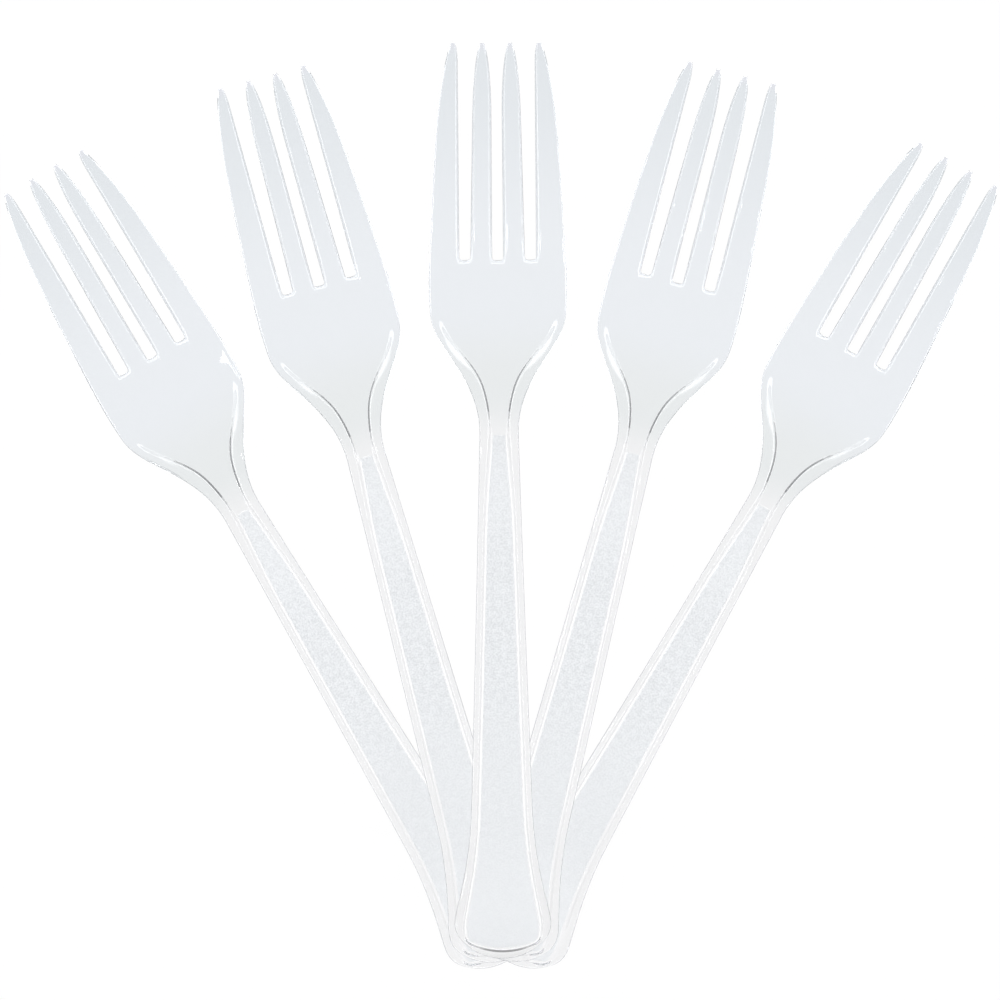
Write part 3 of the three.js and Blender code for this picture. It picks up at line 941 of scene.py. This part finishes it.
grip_material, tree = new_material("frosted_grip")
place = plan_millimetres(tree)
fine = grain(tree, place, FINE_GRAIN)
coarse = grain(tree, place, COARSE_GRAIN, 3)
along = node(tree, "ShaderNodeSeparateXYZ", {}, [place]).out(1)
mixed = FINE_SHARE * fine + (1 - FINE_SHARE) * coarse
contrast = CALM_CONTRAST + (1 - CALM_CONTRAST) * along.between(*CALM_FADES)
pattern = (mixed.between(*GRAIN_FADES) - 0.5) * contrast + 0.5
# painted light: both ends are lifted towards the light grain colour, against the shade that falls on them
painted_light = HANDLE_END_PAINTED_LIGHT * (1 - along.between(*HANDLE_END_PAINTED_LIGHT_FADES)) + NECK_END_PAINTED_LIGHT * along.between(*NECK_END_PAINTED_LIGHT_FADES)
shade = painted_light.colour(pattern.colour(GRAIN_DARK, GRAIN_LIGHT), GRAIN_LIGHT)
frost = {
    "Base Color": shade,
    "Roughness": FROST_ROUGHNESS + COARSE_ROUGHNESS * coarse,
    "IOR": POLYSTYRENE_IOR,
    "Transmission Weight": GRIP_CLEAR,
    "Normal": bump(tree, fine, ETCH_DEPTH),
}
show_plastic(tree, node(tree, "ShaderNodeBsdfPrincipled", {}, frost).out(0))
print(len(tree.nodes), "nodes of frosted grip")

# %% [markdown]
# ## Laying the forks
#
# Each packed fork is the same solid turned and tipped, so the middle of its surface and its longest direction say
# how it lies. The lowest fork lies flat on the table, and its own box shows where a fork's frame starts.


# %% How each packed fork lies
def middle_and_long_axis(name):
    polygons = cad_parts[name].data.polygons
    area = np.array([p.area for p in polygons])
    centres = np.array([p.center for p in polygons])
    middle = area @ centres / area.sum()
    spread = centres - middle
    axes = np.linalg.eigh((spread.T * area) @ spread)[1]
    axis = axes[:, -1] * np.sign(axes[1, -1])
    return Vector(middle), math.atan2(-axis[0], axis[1]), math.asin(axis[2])


FLAT_FORK = "fork_left_outer"
flat_middle, flat_heading, flat_slope = middle_and_long_axis(FLAT_FORK)
turn_back = Matrix.Rotation(-flat_heading, 3, "Z")
turned = np.array([turn_back @ v.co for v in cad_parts[FLAT_FORK].data.vertices])
low, high = turned.min(axis=0), turned.max(axis=0)
own_middle = turn_back @ flat_middle - Vector(((low[0] + high[0]) / 2, low[1], low[2]))


def lie(name):
    middle, heading, slope = middle_and_long_axis(name)
    turn = Matrix.Rotation(heading, 3, "Z") @ Matrix.Rotation(slope - flat_slope, 3, "X")
    print(f"{name}: turned {math.degrees(heading):.2f}, tipped {math.degrees(flat_slope - slope):.2f} degrees")
    return Matrix.Translation(middle - turn @ own_middle) @ turn.to_4x4()


# %% [markdown]
# ## Five forks
#
# Each fork of the fan is a copy of the one mesh, put where its packed fork lies. An array or instances would be
# lighter, but each fork has its own place in the packed model, and the lower ones get less painted shade at their
# covered ends. The subdivision surface stays live, so the cage can still be read.

# %% Copies, laid and smoothed
TOP_FORK = "fork_centre"
COVERED_PAINTED_SHADE = 0.25  # the ends under the top fork get less painted shade

for name in sorted(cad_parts):
    mesh = fork_mesh.copy()
    mesh.name = f"{name}_fine"
    if name != TOP_FORK:
        for value, polygon in zip(mesh.attributes["trapped"].data, mesh.polygons):
            value.value *= COVERED_PAINTED_SHADE if polygon.center.y < END_RADIUS else 1
    mesh.transform(lie(name) @ Matrix.Scale(MM, 4))
    mesh.materials.append(clear_material)
    mesh.materials.append(grip_material)
    piece = bpy.data.objects.new(f"{name}_clear", mesh)
    bpy.context.scene.collection.objects.link(piece)
    smoothing = piece.modifiers.new("smooth", "SUBSURF")
    smoothing.levels = smoothing.render_levels = 2
    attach(piece, "root")
    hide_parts(name)
print(len(fork_mesh.polygons), "quads a fork before smoothing")

# %% Compare with the packed model, and finish
visual_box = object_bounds()
sizes = {"cad": [list(corner) for corner in cad_box], "visual": [list(corner) for corner in visual_box]}
for name, box in sizes.items():
    print(name, [[round(value / MM, 2) for value in corner] for corner in box])
